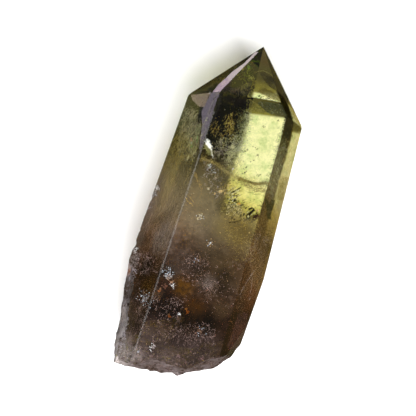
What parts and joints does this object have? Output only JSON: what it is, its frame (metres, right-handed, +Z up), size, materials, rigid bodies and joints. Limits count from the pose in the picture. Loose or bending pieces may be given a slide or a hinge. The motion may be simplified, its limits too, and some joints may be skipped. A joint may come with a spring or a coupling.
{
  "type": "lemon quartz crystal",
  "caption": "Polished pointed quartz crystal, lemon yellow at the tip and smoky brown at its rough broken end, lying on one long face.",
  "frame": {"origin": "on the surface that the crystal rests on, under the middle of its bounding box", "axes": "+Y along the crystal towards its tip, +X to the right of the tip seen from above, +Z up"},
  "size_m": [0.0342, 0.0924, 0.0284],
  "materials": {
    "quartz": "clear polished quartz, greenish yellow at the tip and smoky brown with grey clouds at the rough end"
  },
  "bodies": {
    "root": {"crystal": "quartz"}
  },
  "joints": []
}
